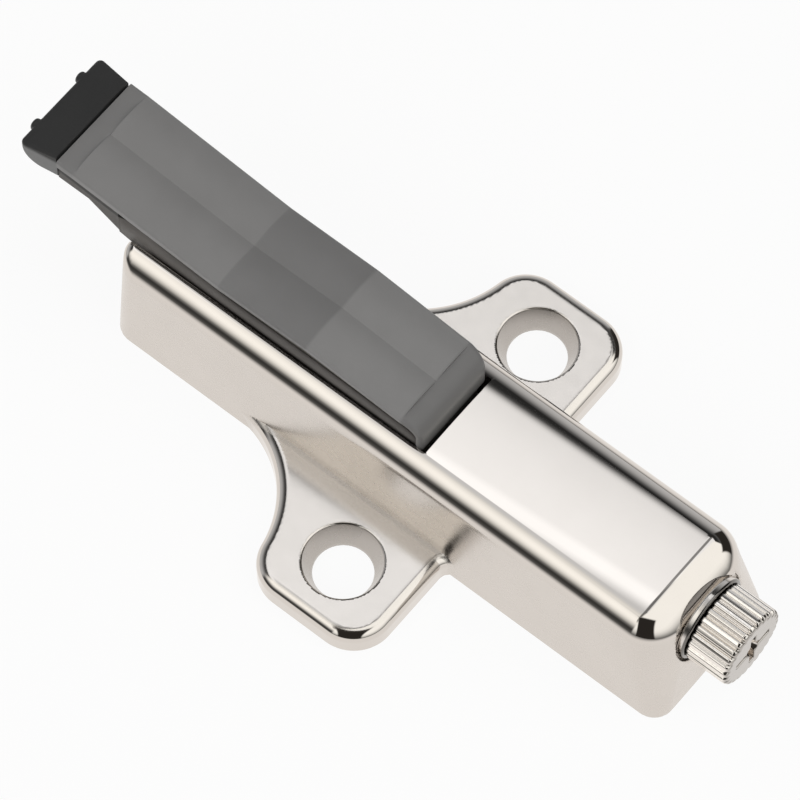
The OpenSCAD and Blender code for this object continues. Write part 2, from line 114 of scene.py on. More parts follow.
# Adjuster
AXIS_Z = 9.2
SCREW_LOW, SCREW_HIGH = span_mm("adjuster_screw")
COLLAR_LOW, COLLAR_HIGH = span_mm("collar")
KNOB_R = (SCREW_HIGH[2] - SCREW_LOW[2]) / 2
KNOB_END = SCREW_HIGH[0]
KNOB_START = COLLAR_HIGH[0] + 0.05
COLLAR_R = (COLLAR_HIGH[2] - COLLAR_LOW[2]) / 2
SEAT_X = COLLAR_LOW[0]
JOURNAL_R = 2.0
COLLAR_EDGE_R, COLLAR_BORE_R = 0.25, JOURNAL_R + 0.3
THREAD_R, THREAD_PITCH, THREAD_DEPTH = 1.5, 0.5, 0.28
NECK_R, NECK_START, NECK_END = 1.15, BAY_REAR - 1.1, BAY_REAR - 0.5
FLUTES = 26
FLUTE_DEPTH, FLUTE_SHARPNESS = 0.34, 3
KNOB_EDGE_R, KNOB_BACK_R = 0.5, 0.2
RECESS_LONG, RECESS_DEPTH = 2.7, 1.8
RECESS_ARM, RECESS_TAPER = 0.42, 0.12
RECESS_CORNER, RECESS_EDGE_R = 0.1, 0.08
PIT_R, PIT_TAPER = 1.1, 0.35
SPRING_WIRE = 0.9
SPRING_TURNS, END_TURNS = 8, 0.8
SPRING_ROOM = 0.75

# Lever
COVER_LOW, COVER_HIGH = span_mm("lever_cover")
JOINT = COVER_LOW[0]
COVER_TOP = COVER_HIGH[2]
COVER_REAR = COVER_HIGH[0]
COVER_END_Z = COVER_LOW[2]
COVER_HALF_JOINT, COVER_HALF_BACK, COVER_HALF_END = COVER_HIGH[1], 5.75, 5.32
COVER_DEPTH_JOINT, COVER_DEPTH_BACK = 1.45, 1.05
JOINT_GAP = 0.2
REED_H = 0.35
FRONT_BAND, BAND_STEP = 2.4, 0.05
COVER_DIP, COVER_KNEE = (-24.5, 19.4), (-13.0, 19.6)
COVER_SLOPE = 0.079
COVER_EDGE_R, COVER_EDGE_GROWTH, TURN_EDGE_R = 0.32, 0.2, 0.5
EDGE_STEPS, REED_STEPS, TURN_STEPS = 6, 12, 16
TURN_R, TURN_LEAD = 2.95, 0.01
TURN_X, TURN_Z = COVER_REAR - TURN_R, 15.5
NOSE_LOW, NOSE_HIGH = span_mm("nose")
NOSE_FLARE, NOSE_DROP, NOSE_DEPTH = 0.4, 0.6, 4.25
NOSE_CORNER, NOSE_BELLY_R, NOSE_TOP_R = 0.7, 2.6, 0.35
NOSE_INSET, NOSE_SEAM = 0.25, 0.02
PIP_REACH, PIP_Y, PIP_DROP, PIP_R = 0.5, 3.55, 1.3, 0.7
PIP_EDGE_R, PIP_ROOT_R = 0.3, 0.12
TONGUE_HALF, TONGUE_TOP, TONGUE_FOOT, TONGUE_ROOT = 3.0, 2.35, 3.95, 0.3
SKIRT_X, SKIRT_END = FRONT - 1.0, FRONT + 0.6
SKIRT_HALF, SKIRT_FOOT = 5.6, 14.4
CORE_HALF, CHEEK_HALF = 4.65, 5.1
CHEEK_EDGE, CHEEK_RING = 0.15, 5
CHEEK_FOOT, CHEEK_REAR = 12.7, COVER_REAR - 1.25
CHEEK_TOPS = (
    (SKIRT_X, 18.0), (-33.0, 16.4), (COVER_DIP[0], 15.2), (COVER_KNEE[0], 15.2), (CHEEK_REAR, 14.8),
)

# Meshing: the share below which a cell counts as flat, the limits of the steps onto the surface, the
# agreement below which a face is folded, and the angles at which corner normals are crisp or flat
FLATNESS = 0.06
LEAST_SLOPE, LONGEST_STEP = 0.3, 0.1
FOLD_LIMIT = 0.3
CRISP_DEGREES, FLAT_DEGREES = 12, 40


# Signed fields: negative inside a solid, in millimetres

def both(a, b, r=0.0):
    """Common part of two solids, with its outer edge rounded to radius r."""
    if np.ndim(r) == 0 and r == 0.0:
        return np.maximum(a, b)
    corner = np.hypot(np.maximum(a + r, 0), np.maximum(b + r, 0))
    return np.minimum(np.maximum(a, b), -r) + corner


def either(a, b, r=0.0):
    """Two solids joined, with the inner corner between them filled to radius r."""
    return -both(-a, -b, r)


def cut(a, b, r=0.0):
    """Solid a without solid b, with the rim of the cut rounded to radius r."""
    return both(a, -b, r)


def between(u, low, high):
    return np.maximum(low - u, u - high)


def block(u, v, half_u, half_v, r):
    """Rectangle with round corners, about the origin of u and v."""
    p = np.abs(u) - half_u + r
    q = np.abs(v) - half_v + r
    return np.hypot(np.maximum(p, 0), np.maximum(q, 0)) + np.minimum(np.maximum(p, q), 0) - r


def slopes(field, points, reach=0.01):
    """Gradient of the field at the points."""
    slope = np.empty_like(points)
    for k in range(3):
        step = np.zeros(3)
        step[k] = reach
        slope[:, k] = (field(*(points + step).T) - field(*(points - step).T)) / (2 * reach)
    return slope


def unit(vectors):
    return vectors / np.maximum(np.linalg.norm(vectors, axis=1, keepdims=True), 1e-12)


def ticks(*stretches):
    """Grid lines from (start, step) pairs, closed by the last start."""
    lines = []
    for (start, step), (stop, _) in zip(stretches, stretches[1:]):
        count = max(1, round((stop - start) / step))
        lines.extend(start + (stop - start) * i / count for i in range(count))
    lines.append(stretches[-1][0])
    return np.array(lines)


def crossings(field, grid, values, k):
    """Points where the surface crosses grid edges along axis k, the cells round each, and its facing."""
    inside = values < 0
    low = [slice(None)] * 3
    high = [slice(None)] * 3
    low[k], high[k] = slice(None, -1), slice(1, None)
    at = np.argwhere(inside[tuple(low)] != inside[tuple(high)])
    far = at.copy()
    far[:, k] += 1
    a = np.stack([grid[i][at[:, i]] for i in range(3)], axis=1)
    b = np.stack([grid[i][far[:, i]] for i in range(3)], axis=1)
    fa, fb = values[tuple(at.T)], values[tuple(far.T)]
    flips = fa > 0
    for _ in range(4):
        p = a + (b - a) * (fa / (fa - fb))[:, None]
        fp = field(*p.T)
        same = (fp < 0) == (fa < 0)
        a, fa = np.where(same[:, None], p, a), np.where(same, fp, fa)
        b, fb = np.where(same[:, None], b, p), np.where(same, fb, fp)
        fa = np.where(fa == fb, fa - 1e-12, fa)
    ring = []
    for du, dv in ((-1, -1), (0, -1), (0, 0), (-1, 0)):
        cell = at.copy()
        cell[:, (k + 1) % 3] += du
        cell[:, (k + 2) % 3] += dv
        ring.append(np.ravel_multi_index(cell.T, np.array(values.shape) - 1))
    return p, np.stack(ring, axis=1), flips


def best_fit(points, normals, owner, count):
    """Mean of each cell's crossings, and the way from there to where their tangent planes meet."""
    p4, n4 = np.repeat(points, 4, axis=0), np.repeat(normals, 4, axis=0)

    def total(weights):
        return np.bincount(owner, weights, count)

    middle = np.stack([total(p4[:, i]) for i in range(3)], axis=1) / total(None)[:, None]
    offset = np.einsum("ij,ij->i", n4, p4 - middle[owner])
    ata = np.stack([[total(n4[:, i] * n4[:, j]) for j in range(3)] for i in range(3)])
    rhs = np.stack([total(n4[:, i] * offset) for i in range(3)], axis=1)
    weight, axes = np.linalg.eigh(ata.transpose(2, 0, 1))
    keep = weight > FLATNESS * weight[:, 2:]
    inverse = np.where(keep, 1 / np.maximum(weight, 1e-9), 0)
    return middle, np.einsum("nij,nj,nkj,nk->ni", axes, inverse, axes, rhs)


def settle(field, corners, middle, quads):
    """Corners drawn onto the surface. Those of folded faces go back to the mean of their crossings."""
    for _ in range(2):
        slope = slopes(field, corners)
        steep = np.maximum(np.linalg.norm(slope, axis=1), LEAST_SLOPE)
        step = np.clip(field(*corners.T) / steep, -LONGEST_STEP, LONGEST_STEP)
        corners = corners - unit(slope) * step[:, None]
    for _ in range(3):
        faces = corners[quads]
        outward = unit(slopes(field, faces.mean(axis=1)))
        folded = np.einsum("ij,ij->i", flat_normals(faces), outward) < FOLD_LIMIT
        again = np.unique(quads[folded])
        corners[again] = middle[again]
    return corners


def contour(field, grid):
    """Corners and quads of the field's zero surface on a grid, by dual contouring, so edges stay crisp."""
    values = field(*np.meshgrid(*grid, indexing="ij"))
    found = [crossings(field, grid, values, k) for k in range(3)]
    points, cells, flips = (np.concatenate(part) for part in zip(*found))
    used, quads = np.unique(cells, return_inverse=True)
    quads = quads.reshape(-1, 4)
    middle, move = best_fit(points, unit(slopes(field, points)), quads.ravel(), len(used))
    where = np.stack(np.unravel_index(used, np.array(values.shape) - 1), axis=1)
    floor = np.stack([grid[i][where[:, i]] for i in range(3)], axis=1)
    roof = np.stack([grid[i][where[:, i] + 1] for i in range(3)], axis=1)
    corners = np.clip(middle + move, floor, roof)
    quads[flips] = quads[flips][:, ::-1]
    return settle(field, corners, middle, quads), quads


def flat_normals(faces):
    return unit(np.cross(faces[:, 2] - faces[:, 0], faces[:, 3] - faces[:, 1]))


def mesh_object(name, corners, quads, normals=None):
    """Blender object from points in millimetres, with given corner normals or smooth shading."""
    mesh = bpy.data.meshes.new(name)
    mesh.from_pydata((np.asarray(corners) * MM).tolist(), [], [list(q) for q in quads])
    mesh.validate()
    mesh.polygons.foreach_set("use_smooth", [True] * len(mesh.polygons))
    if normals is not None:
        mesh.normals_split_custom_set(normals.tolist())
    mesh.update()
    thing = bpy.data.objects.new(name, mesh)
    bpy.context.scene.collection.objects.link(thing)
    return thing


def tube(first, rings, size):
    """Faces of a tube of equal rings of corners, closed at both ends."""
    faces = []
    for ring in range(rings - 1):
        start = first + ring * size
        for i in range(size):
            a, b = start + i, start + (i + 1) % size
            faces.append((a, b, b + size, a + size))
    last = first + (rings - 1) * size
    faces.append(tuple(range(first + size - 1, first - 1, -1)))
    faces.append(tuple(range(last, last + size)))
    return faces


def solid(name, field, grid, lean=0.25):
    """Object from a field. On a crisp edge, each corner's normal is read a little way into its face."""
    corners, quads = contour(field, grid)
    faces = corners[quads]
    probe = faces + lean * (faces.mean(axis=1, keepdims=True) - faces)
    leaned = unit(slopes(field, probe.reshape(-1, 3)))
    exact = unit(slopes(field, faces.reshape(-1, 3)))
    flat = np.repeat(flat_normals(faces), 4, axis=0)
    normals = np.where(agree(exact, leaned, CRISP_DEGREES), exact, leaned)
    normals = np.where(agree(normals, flat, FLAT_DEGREES), normals, flat)
    return mesh_object(name, corners, quads.tolist(), normals)


def agree(a, b, degrees):
    """Whether two sets of unit vectors differ by less than an angle, as a column."""
    return np.einsum("ij,ij->i", a, b)[:, None] > math.cos(math.radians(degrees))


def stand_for(piece, node, material):
    """The piece takes the CAD node's place on its body, in the node's material slot."""
    body = next(b for b, members in frame["record"]["behaviour"]["bodies"].items() if node in members)
    piece.data.materials.append(material)
    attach(piece, body)
    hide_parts(node)
    return piece


# Housing

def ear_plan(x, ay):
    """Plan of one ear: a slab with round corners, a flare in front that touches it, a small rear root."""
    middle = (EAR_BACK + EAR_FRONT - EAR_R) / 2
    half = (EAR_BACK - EAR_FRONT + EAR_R) / 2
    slab = block(x - middle, ay, half, EAR_END, EAR_R)
    corner = np.array([EAR_FRONT, EAR_END - EAR_R])
    flare_y = FLARE_ROOT + FLARE_R
    rise = flare_y - corner[1]
    flare_x = corner[0] - math.sqrt((FLARE_R + EAR_R) ** 2 - rise ** 2)
    along = (corner - (flare_x, flare_y)) / (FLARE_R + EAR_R)
    above = (ay - flare_y) * along[0] - (x - flare_x) * along[1]
    beside_flare = (above < 0) & (x > flare_x) & (x < EAR_FRONT)
    plan = np.where(beside_flare, FLARE_R - np.hypot(x - flare_x, ay - flare_y), slab)
    root_x, root_y = EAR_BACK + ROOT_R, FLARE_ROOT + ROOT_R
    beside_root = (ay < root_y) & (x > 0) & (x < root_x)
    return np.where(beside_root, ROOT_R - np.hypot(x - root_x, ay - root_y), plan)


def reach_at(depth, r):
    """How far a round edge of radius r has come out at a depth below the top."""
    return np.sqrt(np.maximum(r * r - np.maximum(r - depth, 0) ** 2, 0))


def wall_at(depth, foot, r):
    """Plan distance of a drafted wall with a round top edge. Foot is the distance at the mounting plane."""
    centre = foot - (HEIGHT - r) * DRAFT - r / math.cos(math.atan(DRAFT))
    touch = r * (1 - math.sin(math.atan(DRAFT)))
    return np.where(depth < touch, centre + reach_at(depth, r), foot - DRAFT * (HEIGHT - depth))


def body_field(x, ay, z):
    """Drafted body from its plan sections: rounded rectangles that grow below the crowned top."""
    depth = HEIGHT - ay * ay / (2 * CROWN_R) - z
    low = np.clip((depth - SIDE_R) / (HEIGHT - SIDE_R), 0, 1)
    rear_corner = REAR_CORNER_SHARE * reach_at(depth, END_R) * (1 - low) + REAR_CORNER * low
    corner = np.where(x > 0, rear_corner, reach_at(depth, FRONT_CORNER))
    front = -FRONT - FRONT_R + reach_at(depth, FRONT_R)
    p = np.where(x > 0, x - wall_at(depth, REAR, END_R), -x - front) + corner
    q = ay - wall_at(depth, HALF_WIDTH, SIDE_R) + corner
    outline = np.hypot(np.maximum(p, 0), np.maximum(q, 0)) + np.minimum(np.maximum(p, q), 0) - corner
    upright = np.clip(reach_at(depth, SIDE_R) / SIDE_R, 0.05, 1)
    return np.maximum(outline * upright, -depth)


def bays(x, ay, z, around):
    """Hollows below the slot and behind it, for the lever's tail, the plunger and the nut."""
    bay = np.maximum(ay - SLOT_HALF, between(x, BAY_FRONT, SLOT_REAR))
    behind = between(x, SLOT_REAR - 1, BAY_REAR)
    rear_bay = np.maximum(np.maximum(ay - BAY_HALF, z - BAY_TOP), behind)
    channel = np.maximum(around - CHANNEL_R, behind)
    return np.minimum(np.minimum(bay, rear_bay), channel)


def housing_field(x, y, z):
    """Body and ears, less the screw holes, the slot, the bays and the seats of the inner pieces."""
    ay = np.abs(y)
    around = np.hypot(y, z - AXIS_Z)
    shape = body_field(x, ay, z)
    shape = np.minimum(shape, both(ear_plan(x, ay), z - EAR_T, EAR_EDGE_R))
    taper = np.clip((z - HOLE_LAND) / (EAR_T - HOLE_LAND), 0, 1.5)
    hole = np.hypot(x, ay - HOLE_Y) - HOLE_R - (SINK_R - HOLE_R) * taper
    shape = cut(shape, hole, HOLE_EDGE_R)
    slot = np.maximum(both(ay - SLOT_HALF, x - SLOT_REAR, SLOT_CORNER), SLOT_FLOOR - z)
    shape = cut(shape, slot)
    shape = cut(shape, bays(x, ay, z, around))
    journal = np.maximum(around - JOURNAL_R - RUN_GAP, BAY_REAR - 1 - x)
    seat = np.maximum(around - COLLAR_R - SEAT_GAP, SEAT_X - x)
    shape = cut(cut(shape, journal), seat, SEAT_EDGE_R)
    bore = np.maximum(np.hypot(x - PIN_X, z - PIN_Z) - PIN_R, PIN_NEAR - y)
    leaf = between(x, LEAF_LOW[0] - POCKET_GAP, LEAF_HIGH[0] + POCKET_GAP)
    leaf = np.maximum(leaf, between(z, LEAF_LOW[2] - POCKET_GAP, LEAF_HIGH[2] + POCKET_GAP))
    leaf = np.maximum(leaf, between(y, LEAF_LOW[1], 0))
    shape = cut(shape, np.minimum(bore, leaf))
    middle, half = (PLATE_LOW + PLATE_HIGH) / 2, (PLATE_HIGH - PLATE_LOW) / 2 + POCKET_GAP
    plate = block(x - middle[0], y, half[0], half[1], PLATE_CORNER)
    shape = cut(shape, np.maximum(plate, z - PLATE_HIGH[2]))
    return np.maximum(shape, -z)


def make_housing():
    """Housing on a grid that is finer at its edges and round the screw holes."""
    along = ticks((FRONT - 1, 0.3), (FRONT + 4, 1.0), (-21, 0.3), (-HOLE_ZONE, HOLE_STEP), (HOLE_ZONE, 0.3),
                  (10, 1.0), (27, 0.25), (REAR + 1, 1))
    half = ticks((4.6, 0.25), (9.4, 0.3), (HOLE_Y - HOLE_ZONE, HOLE_STEP), (HOLE_Y + HOLE_ZONE, 0.3),
                 (EAR_END + 1, 1))
    across = np.concatenate([-half[::-1], ticks((-half[0], 0.8), (half[0], 1))[1:-1], half])
    up = ticks((-0.5, 0.3), (1.4, 0.19), (2.55, 0.12), (3.15, 0.8), (9.0, 0.25), (HEIGHT + 0.6, 1))
    return solid("housing_shell", housing_field, (along, across, up))


# Lever cover: cross-sections along its side profile

def cover_section(half, depth, edge, reed):
    """Ring of (y, height) points: two shallow reeds on top, rounded upper edges, flat underside."""
    near = [(-half, -depth)]
    for i in range(EDGE_STEPS + 1):
        a = math.radians(180 - 90 * i / EDGE_STEPS)
        near.append((-half + edge + edge * math.cos(a), -REED_H - edge + edge * math.sin(a)))
    middle = (half - edge) / 2
    for i in range(1, REED_STEPS):
        y = (edge - half) * (1 - i / REED_STEPS)
        near.append((y, reed * (1 - ((y + middle) / middle) ** 2) - REED_H))
    return near + [(0.0, -REED_H)] + [(-y, h) for y, h in reversed(near)]


def cover_tops():
    """Points (x, z) of the cover's side profile up to its rear turn, and the turn's first angle."""
    band = JOINT + FRONT_BAND
    tops = [
        (JOINT + JOINT_GAP, COVER_TOP),
        (band, COVER_TOP - BAND_STEP),
        (band + BAND_STEP, COVER_TOP - BAND_STEP),
        COVER_DIP,
        COVER_KNEE,
    ]
    slope = math.atan2(COVER_KNEE[1] - TURN_Z - TURN_R, TURN_X - COVER_KNEE[0])
    tops.append((TURN_X - TURN_LEAD + TURN_R * math.sin(slope), TURN_Z + TURN_R * math.cos(slope)))
    return tops, slope


def cover_frames(tops, slope):
    """Stations along the cover: x, z, tilt, half width, depth, edge radius and reed height."""
    frames = []
    for x, z in tops:
        share = (x - JOINT) / (TURN_X - JOINT)
        half = COVER_HALF_JOINT + (COVER_HALF_BACK - COVER_HALF_JOINT) * share
        depth = COVER_DEPTH_JOINT + (COVER_DEPTH_BACK - COVER_DEPTH_JOINT) * share
        reed = REED_H if x > JOINT + FRONT_BAND else 0.0
        frames.append((x, z, 0.0, half, depth, COVER_EDGE_R + COVER_EDGE_GROWTH * share, reed))
    for i in range(TURN_STEPS + 1):
        a = slope + (math.pi / 2 - slope) * i / TURN_STEPS
        x, z = TURN_X + TURN_R * math.sin(a), TURN_Z + TURN_R * math.cos(a)
        half = COVER_HALF_BACK + (COVER_HALF_END - COVER_HALF_BACK) * i / TURN_STEPS
        frames.append((x, z, a, half, COVER_DEPTH_BACK, TURN_EDGE_R, 0.0))
    end = (COVER_REAR, COVER_END_Z, math.pi / 2, COVER_HALF_END, COVER_DEPTH_BACK, TURN_EDGE_R, 0.0)
    frames.append(end)
    return frames


def make_cover():
    """Cover through its stations, crisp across each one up to the turn and along the reeds' valley."""
    tops, slope = cover_tops()
    frames = cover_frames(tops, slope)
    corners = []
    for x, z, tilt, half, depth, edge, reed in frames:
        for y, h in cover_section(half, depth, edge, reed):
            corners.append((x + h * math.sin(tilt), y, z + h * math.cos(tilt)))
    size = len(corners) // len(frames)
    cover = mesh_object("lever_cap", corners, tube(0, len(frames), size))
    kinks = {*range(len(tops) + 1), len(frames) - 1}
    lines = {0, size // 2, size - 1}
    for edge in cover.data.edges:
        a, b = edge.vertices
        across = a // size == b // size and a // size in kinks
        along = a % size == b % size and a % size in lines
        edge.use_edge_sharp = across or along
    return cover


# Side faces of the lever core

def make_cheeks():
    """Moulded faces that fill the slot beside the hinge arm, with a wider skirt ahead of the housing."""
    skirt = np.linspace(SKIRT_X, SKIRT_END, 6)[:-1]
    xs = np.concatenate([skirt, np.linspace(SKIRT_END, CHEEK_REAR, 24)])
    roof = np.interp(xs, *zip(*CHEEK_TOPS))
    foot = np.interp(xs, (SKIRT_X, SKIRT_END), (SKIRT_FOOT, CHEEK_FOOT))
    half = np.interp(xs, (SKIRT_X, SKIRT_END), (SKIRT_HALF, CHEEK_HALF))
    corners, faces = [], []
    for side in (-1, 1):
        sleeve = tube(len(corners), len(xs), CHEEK_RING)
        faces.extend(sleeve if side > 0 else [face[::-1] for face in sleeve])
        for x, high, low, out in zip(xs, roof, foot, half):
            under = [(CORE_HALF, low), (out - CHEEK_EDGE, low), (out, low + CHEEK_EDGE)]
            ring = under + [(out, high), (CORE_HALF, high)]
            corners.extend((x, side * y, z) for y, z in ring)
    cheeks = mesh_object("core_cheeks", corners, faces)
    for edge in cheeks.data.edges:
        edge.use_edge_sharp = True
    cheeks.data.materials.append(dark_core)
    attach(cheeks, "lever")


# Nose

def nose_field(x, y, z):
    """Nose with a round belly, two pips on its front and a tongue into the core."""
    front = NOSE_LOW[0] + PIP_REACH
    roof = NOSE_HIGH[2]
    half = np.interp(x, (front, JOINT), (NOSE_HIGH[1] + NOSE_FLARE, COVER_HALF_JOINT - NOSE_INSET))
    top = z - np.interp(x, (front, JOINT), (roof - NOSE_DROP, roof))
    belly = both(roof - NOSE_DEPTH - z, front - x, NOSE_BELLY_R)
    shape = both(belly, np.abs(y) - half, NOSE_CORNER)
    shape = both(shape, top, NOSE_TOP_R)
    shape = np.maximum(shape, x - JOINT + NOSE_SEAM)
    pip = np.hypot(np.abs(y) - PIP_Y, z - (roof - PIP_DROP)) - PIP_R
    pip = both(pip, between(x, NOSE_LOW[0], front + 1), PIP_EDGE_R)
    shape = either(shape, pip, PIP_ROOT_R)
    tongue = np.maximum(np.abs(y) - TONGUE_HALF, between(x, JOINT - TONGUE_ROOT, NOSE_HIGH[0]))
    tongue = np.maximum(tongue, between(z, roof - TONGUE_FOOT, roof - TONGUE_TOP))
    return np.minimum(shape, tongue)


def make_nose():
    along = ticks((NOSE_LOW[0] - 0.5, 0.1), (JOINT + 0.3, 0.3), (NOSE_HIGH[0] + 0.5, 1))
    across = ticks((NOSE_LOW[1] - 0.9, 0.12), (NOSE_HIGH[1] + 0.9, 1))
    up = ticks((NOSE_LOW[2] - 0.5, 0.12), (NOSE_HIGH[2] + 0.5, 1))
    return solid("nose_pad", nose_field, (along, across, up))


# Adjuster

def recess_field(x, y, h):
    """Cross recess in the knob's end, narrower with depth, with a round pit in its middle."""
    depth = np.clip(KNOB_END - x, 0, 2)
    arm = RECESS_ARM - RECESS_TAPER * depth
    level = block(y, h, RECESS_LONG, arm, RECESS_CORNER)
    upright = block(y, h, arm, RECESS_LONG, RECESS_CORNER)
    cross = np.minimum(level, upright)
    pit = np.hypot(y, h) - PIT_R + PIT_TAPER * depth
    return np.maximum(np.minimum(cross, pit), KNOB_END - RECESS_DEPTH - x)


def screw_field(x, y, z):
    """Fluted knob, plain journal, and a thread with a neck for the clip."""
    h = z - AXIS_Z
    r = np.hypot(y, h)
    turn = np.arctan2(h, y)
    groove = (0.5 + 0.5 * np.cos(FLUTES * turn)) ** FLUTE_SHARPNESS
    knob = both(r - KNOB_R + FLUTE_DEPTH * groove, x - KNOB_END, KNOB_EDGE_R)
    knob = both(knob, KNOB_START - x, KNOB_BACK_R)
    knob = cut(knob, recess_field(x, y, h), RECESS_EDGE_R)
    shank = np.maximum(r - JOURNAL_R, between(x, NECK_END, KNOB_START + 1))
    wave = np.abs(np.mod(x / THREAD_PITCH - turn / (2 * math.pi), 1.0) - 0.5) * 2
    thread = np.maximum(r - THREAD_R + THREAD_DEPTH * wave, between(x, SCREW_LOW[0], NECK_END + 0.1))
    neck = np.maximum(NECK_R - r, between(x, NECK_START, NECK_END))
    return np.minimum(np.minimum(knob, shank), np.maximum(thread, -neck))


def make_screw():
    along = ticks((SCREW_LOW[0] - 0.5, 0.12), (KNOB_START - 0.4, 0.1), (KNOB_END + 0.4, 1))
    reach = KNOB_R + 0.4
    ring = ticks((-reach, 0.11), (reach, 1))
    return solid("adjuster_knob", screw_field, (along, ring, ring + AXIS_Z))


def collar_field(x, y, z):
    r = np.hypot(y, z - AXIS_Z)
    ring = both(r - COLLAR_R, between(x, COLLAR_LOW[0], COLLAR_HIGH[0]), COLLAR_EDGE_R)
    return np.maximum(ring, COLLAR_BORE_R - r)


def make_collar():
    along = ticks((COLLAR_LOW[0] - 0.3, 0.1), (COLLAR_HIGH[0] + 0.3, 1))
    reach = COLLAR_R + 0.3
    ring = ticks((-reach, 0.14), (reach, 1))
    return solid("adjuster_collar", collar_field, (along, ring, ring + AXIS_Z))


# Main spring: a round wire on a helix with closed end coils

def make_spring():
    """Coil that stops short of the plunger at rest, because the lever's press brings the plunger nearer."""
    low, high = span_mm("main_spring")
    start = low[0] + SPRING_ROOM
    thick = SPRING_WIRE / 2
    radius = (high[2] - low[2] - SPRING_WIRE) / 2
    per_turn, sides = 36, 12
    count = SPRING_TURNS * per_turn
    corners = []
    for i in range(count + 1):
        a = 2 * math.pi * i / per_turn
        share = np.clip((i / per_turn - END_TURNS) / (SPRING_TURNS - 2 * END_TURNS), 0, 1)
        x = start + thick + (high[0] - start - SPRING_WIRE) * share
        for s in range(sides):
            b = 2 * math.pi * s / sides
            reach = radius + thick * math.cos(b)
            corners.append((x + thick * math.sin(b), reach * math.cos(a), AXIS_Z + reach * math.sin(a)))
    return mesh_object("coil_spring", corners, tube(0, count + 1, sides))


# Materials

# Slow colour drift per metre, and height of the fine grain in metres
DRIFT_SCALE, GRAIN_HEIGHT = 180.0, 0.0001

# Zones of the finishes and of the painted shade in millimetres, and their shares
TOP_POLISH = HEIGHT - 2.6, HEIGHT - 1.9
EAR_POLISH = 9.3, 9.5
EAR_FACE = EAR_T - 0.25, EAR_T - 0.05
FACE_DULLNESS, POLISHED = 0.5, 0.1
HOLE_RIM = SINK_R - 0.05, SINK_R + 0.02
# Painted shade inside the screw holes
HOLE_PAINTED_SHADE = 0.72
# Painted shadow on the core under the lever cover: its band and tone
CORE_PAINTED_SHADOW_ZONE, CORE_PAINTED_SHADOW_TONE = (14.5, 14.8), 0.1


def feed(tree, socket, value):
    """Link another node's output to a socket, or set the socket to a plain value."""
    if isinstance(value, bpy.types.NodeSocket):
        tree.links.new(value, socket)
    else:
        socket.default_value = value


def add(tree, kind, **inputs):
    """New shader node with its inputs fed."""
    node = tree.nodes.new(kind)
    for name, value in inputs.items():
        feed(tree, node.inputs[name.replace("_", " ")], value)
    return node


def ramp(tree, factor, *stops):
    """Colour ramp from (position, grey or colour) stops."""
    node = tree.nodes.new("ShaderNodeValToRGB")
    tree.links.new(factor, node.inputs["Fac"])
    elements = node.color_ramp.elements
    while len(elements) < len(stops):
        elements.new(0.5)
    for element, (position, tone) in zip(elements, stops):
        element.position = position
        element.color = (*tone, 1) if np.ndim(tone) else (tone, tone, tone, 1)
    return node.outputs["Color"]


def noise(tree, scale, detail=3.0):
    """Noise over the part's own coordinates, with a feature size of about 1 / scale metres."""
    place = tree.nodes.new("ShaderNodeTexCoord").outputs["Object"]
    return add(tree, "ShaderNodeTexNoise", Vector=place, Scale=scale, Detail=detail).outputs["Fac"]


def math_node(tree, operation, a, b=0.0):
    node = tree.nodes.new("ShaderNodeMath")
    node.operation = operation
    feed(tree, node.inputs[0], a)
    feed(tree, node.inputs[1], b)
    return node.outputs[0]


def along(tree, way, direction):
    """Component of the ray's way in a given direction."""
    dot = tree.nodes.new("ShaderNodeVectorMath")
    dot.operation = "DOT_PRODUCT"
    tree.links.new(way, dot.inputs[0])
    dot.inputs[1].default_value = direction
    return dot.outputs["Value"]


def metres(lengths):
    return [length * MM for length in lengths]


def rise(tree, value, low, high):
    """Smooth share from 0 to 1 as the value goes from low to high."""
    fade = add(tree, "ShaderNodeMapRange", Value=value, From_Min=low, From_Max=high)
    fade.interpolation_type = "SMOOTHSTEP"
    return fade.outputs["Result"]


def blend_colour(tree, share, first, second, kind="MIX"):
    """Colour from first to second by share, or another kind of mix."""
    mix = tree.nodes.new("ShaderNodeMix")
    mix.data_type = "RGBA"
    mix.blend_type = kind
    feed(tree, mix.inputs["Factor"], share)
    feed(tree, mix.inputs[6], first)
    feed(tree, mix.inputs[7], second)
    return mix.outputs[2]


def multiply(tree, a, b):
    return blend_colour(tree, 1.0, a, b, "MULTIPLY")


def mix_shaders(tree, share, first, second):
    mix = tree.nodes.new("ShaderNodeMixShader")
    for socket, value in zip(mix.inputs, (share, first, second)):
        tree.links.new(value, socket)
    return mix.outputs[0]


def own_axes(tree):
    """The part's own X, Y and Z at the shaded point, in metres."""
    place = tree.nodes.new("ShaderNodeTexCoord").outputs["Object"]
    return add(tree, "ShaderNodeSeparateXYZ", Vector=place).outputs


def bands(tree, axis, *stops):
    """Share along one of the part's own axes, from (millimetres, share) stops."""
    low, high = stops[0][0], stops[-1][0]
    place = own_axes(tree)[axis]
    span = add(tree, "ShaderNodeMapRange", Value=place, From_Min=low * MM, From_Max=high * MM)
    tones = [((at - low) / (high - low), tone) for at, tone in stops]
    return ramp(tree, span.outputs["Result"], *tones)


def beyond_holes(tree):
    """Share that is 0 inside the two screw holes and 1 around them."""
    axes = own_axes(tree)
    beside = math_node(tree, "SUBTRACT", math_node(tree, "ABSOLUTE", axes["Y"]), HOLE_Y * MM)
    square = math_node(tree, "MULTIPLY", beside, beside)
    square = math_node(tree, "ADD", square, math_node(tree, "MULTIPLY", axes["X"], axes["X"]))
    return rise(tree, math_node(tree, "SQRT", square), *metres(HOLE_RIM))


def hole_painted_shade(tree):
    """Painted shade: darker inside the screw holes."""
    return ramp(tree, beyond_holes(tree), (0.0, HOLE_PAINTED_SHADE), (1.0, 1.0))


